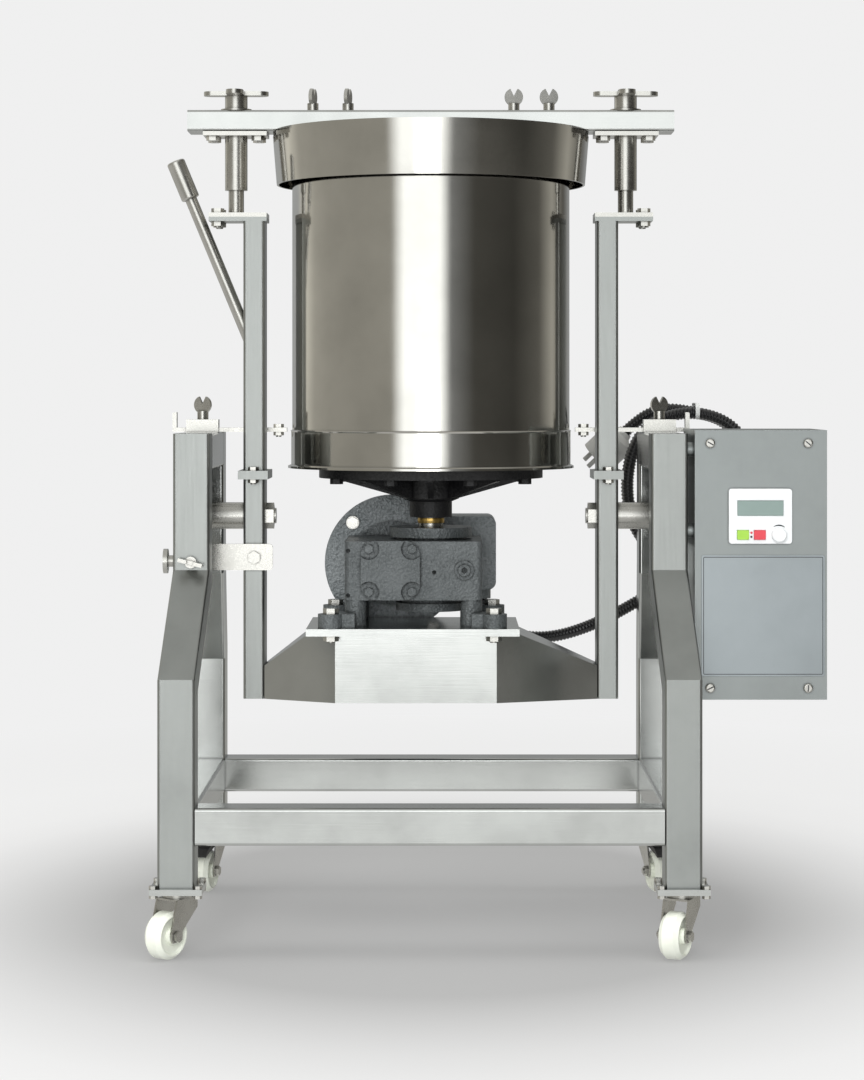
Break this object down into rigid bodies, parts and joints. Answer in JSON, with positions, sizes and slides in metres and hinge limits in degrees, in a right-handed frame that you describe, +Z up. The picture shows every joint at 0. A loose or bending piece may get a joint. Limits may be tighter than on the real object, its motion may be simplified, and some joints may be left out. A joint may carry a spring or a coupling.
{
  "type": "tilting chocolate melanger",
  "caption": "Stainless steel tilting chocolate melanger: a lidded grinding drum on a gear motor cradle, carried by a splayed tube frame on casters, with a control box and coiled supply cord.",
  "frame": {"origin": "on the floor under the drum's axis", "axes": "+X to the operator's right, +Y away from the operator, +Z up"},
  "size_m": [0.9194, 0.6384, 1.1828],
  "materials": {
    "frame_steel": "polished stainless steel",
    "bright_steel": "bright turned or plated steel",
    "drum_steel": "fine vertical brushing",
    "case_steel": "fine grained stainless sheet",
    "gear_iron": "dark grey hammered paint on castings",
    "carrier_iron": "black painted casting",
    "motor_paint": "grey paint",
    "bronze": "machined",
    "granite": "honed granite, opaque",
    "nylon": "cream nylon",
    "black_plastic": "black moulded",
    "conduit_black": "black ribbed conduit",
    "plug_grey": "grey moulded",
    "keypad_white": "white moulded",
    "key_green": "green rubbery key",
    "key_red": "red rubbery key"
  },
  "bodies": {
    "base": {"front_legs": "frame_steel", "rear_legs": "frame_steel", "frame_rails": "frame_steel", "trunnion_bearings": "frame_steel", "foot_plates": "frame_steel", "lock_guides": "bright_steel", "base_screws": "bright_steel", "control_box": "case_steel", "control_cover": "case_steel", "keypad": "keypad_white", "box_glands": "conduit_black", "supply_conduit": "conduit_black", "supply_plug": "plug_grey", "motor_conduit": "conduit_black"},
    "cradle": {"trunnion_shafts": "bright_steel", "lower_posts": "frame_steel", "upper_posts": "frame_steel", "column_rods": "bright_steel", "cradle_bridge": "frame_steel", "tilt_strap": "bright_steel", "tilt_handle": "bright_steel", "motor_plate": "frame_steel", "gearbox_housing": "gear_iron", "gearbox_end_cap": "gear_iron", "gearbox_screws": "gear_iron", "motor_body": "motor_paint", "motor_cowl": "motor_paint", "terminal_box": "motor_paint", "cradle_screws": "bright_steel"},
    "drum": {"drum_shell": "drum_steel", "drum_base_stone": "granite", "drum_carrier": "carrier_iron", "drum_bolts": "carrier_iron", "output_shaft": "bright_steel", "worm_wheel": "bronze"},
    "worm": {"worm_shaft": "bright_steel"},
    "head": {"head_beam": "frame_steel", "lid": "drum_steel", "beam_sleeves": "bright_steel", "head_screws": "bright_steel", "stone_yoke": "bright_steel"},
    "stone_left": {"roller_stone_left": "granite"},
    "stone_right": {"roller_stone_right": "granite"},
    "nut_left": {"hand_nut_left": "bright_steel"},
    "nut_right": {"hand_nut_right": "bright_steel"},
    "lock_left": {"lock_bar_left": "bright_steel"},
    "lock_right": {"lock_bar_right": "bright_steel"},
    "start": {"start_key": "key_green"},
    "stop": {"stop_key": "key_red"},
    "knob": {"keypad_knob": "keypad_white"},
    "caster_front_left": {"caster_fork_front_left": "bright_steel"},
    "wheel_front_left": {"caster_wheel_front_left": "nylon"},
    "caster_front_right": {"caster_fork_front_right": "bright_steel"},
    "wheel_front_right": {"caster_wheel_front_right": "nylon"},
    "caster_rear_left": {"caster_fork_rear_left": "bright_steel"},
    "wheel_rear_left": {"caster_wheel_rear_left": "nylon"},
    "brake_rear_left": {"caster_brake_rear_left": "black_plastic"},
    "caster_rear_right": {"caster_fork_rear_right": "bright_steel"},
    "wheel_rear_right": {"caster_wheel_rear_right": "nylon"},
    "brake_rear_right": {"caster_brake_rear_right": "black_plastic"}
  },
  "joints": [
    {"name": "tilt", "type": "hinge", "parent": "base", "child": "cradle", "pos_m": [0, 0, 0.5755], "axis": [1, 0, 0], "range_deg": [0, 90], "deforming": ["motor_conduit"]},
    {"name": "drum_spin", "type": "hinge", "parent": "cradle", "child": "drum", "pos_m": [0, 0, 0.6], "axis": [0, 0, 1], "continuous": true},
    {"name": "worm_spin", "type": "hinge", "parent": "cradle", "child": "worm", "pos_m": [-0.056, 0, 0.503], "axis": [0, 1, 0], "continuous": true},
    {"name": "beam_lift", "type": "slide", "parent": "cradle", "child": "head", "axis": [0, 0, 1], "range_m": [0, 0.05]},
    {"name": "stone_left_spin", "type": "hinge", "parent": "head", "child": "stone_left", "pos_m": [-0.0875, 0, 0.7753], "axis": [1, 0, 0], "continuous": true},
    {"name": "stone_right_spin", "type": "hinge", "parent": "head", "child": "stone_right", "pos_m": [0.0875, 0, 0.7753], "axis": [1, 0, 0], "continuous": true},
    {"name": "nut_left_spin", "type": "hinge", "parent": "head", "child": "nut_left", "pos_m": [-0.277, 0, 1.16], "axis": [0, 0, 1], "continuous": true},
    {"name": "nut_right_spin", "type": "hinge", "parent": "head", "child": "nut_right", "pos_m": [0.277, 0, 1.16], "axis": [0, 0, 1], "continuous": true},
    {"name": "lock_left_slide", "type": "slide", "parent": "base", "child": "lock_left", "axis": [-1, 0, 0], "range_m": [0, 0.06]},
    {"name": "lock_right_slide", "type": "slide", "parent": "base", "child": "lock_right", "axis": [1, 0, 0], "range_m": [0, 0.06]},
    {"name": "start_press", "type": "slide", "parent": "base", "child": "start", "axis": [0, 1, 0], "range_m": [0, 0.0015], "stiffness_N_per_m": 500},
    {"name": "stop_press", "type": "slide", "parent": "base", "child": "stop", "axis": [0, 1, 0], "range_m": [0, 0.0015], "stiffness_N_per_m": 500},
    {"name": "knob_turn", "type": "hinge", "parent": "base", "child": "knob", "pos_m": [0.476, -0.158, 0.556], "axis": [0, 1, 0], "range_deg": [-135, 135]},
    {"name": "swivel_front_left", "type": "hinge", "parent": "base", "child": "caster_front_left", "pos_m": [-0.336, -0.25, 0.08], "axis": [0, 0, 1], "continuous": true},
    {"name": "roll_front_left", "type": "hinge", "parent": "caster_front_left", "child": "wheel_front_left", "pos_m": [-0.34977, -0.26966, 0.0315], "axis": [0.8192, -0.5736, 0], "continuous": true},
    {"name": "swivel_front_right", "type": "hinge", "parent": "base", "child": "caster_front_right", "pos_m": [0.336, -0.25, 0.08], "axis": [0, 0, 1], "continuous": true},
    {"name": "roll_front_right", "type": "hinge", "parent": "caster_front_right", "child": "wheel_front_right", "pos_m": [0.32548, -0.27157, 0.0315], "axis": [0.8988, -0.4384, 0], "continuous": true},
    {"name": "swivel_rear_left", "type": "hinge", "parent": "base", "child": "caster_rear_left", "pos_m": [-0.336, 0.25, 0.08], "axis": [0, 0, 1], "continuous": true},
    {"name": "roll_rear_left", "type": "hinge", "parent": "caster_rear_left", "child": "wheel_rear_left", "pos_m": [-0.34181, 0.22671, 0.0315], "axis": [0.9703, -0.2419, 0], "continuous": true},
    {"name": "brake_rear_left_press", "type": "hinge", "parent": "caster_rear_left", "child": "brake_rear_left", "pos_m": [-0.33939, 0.23642, 0.071], "axis": [0.9703, -0.2419, 0], "range_deg": [0, 7]},
    {"name": "swivel_rear_right", "type": "hinge", "parent": "base", "child": "caster_rear_right", "pos_m": [0.336, 0.25, 0.08], "axis": [0, 0, 1], "continuous": true},
    {"name": "roll_rear_right", "type": "hinge", "parent": "caster_rear_right", "child": "wheel_rear_right", "pos_m": [0.34181, 0.22671, 0.0315], "axis": [0.9703, 0.2419, 0], "continuous": true},
    {"name": "brake_rear_right_press", "type": "hinge", "parent": "caster_rear_right", "child": "brake_rear_right", "pos_m": [0.33939, 0.23642, 0.071], "axis": [0.9703, 0.2419, 0], "range_deg": [0, 7]}
  ],
  "couplings": [
    {"joint": "worm_spin", "follows": "drum_spin", "ratio": 20},
    {"joint": "stone_right_spin", "follows": "drum_spin", "ratio": 1.0294},
    {"joint": "stone_left_spin", "follows": "drum_spin", "ratio": -1.0294}
  ]
}
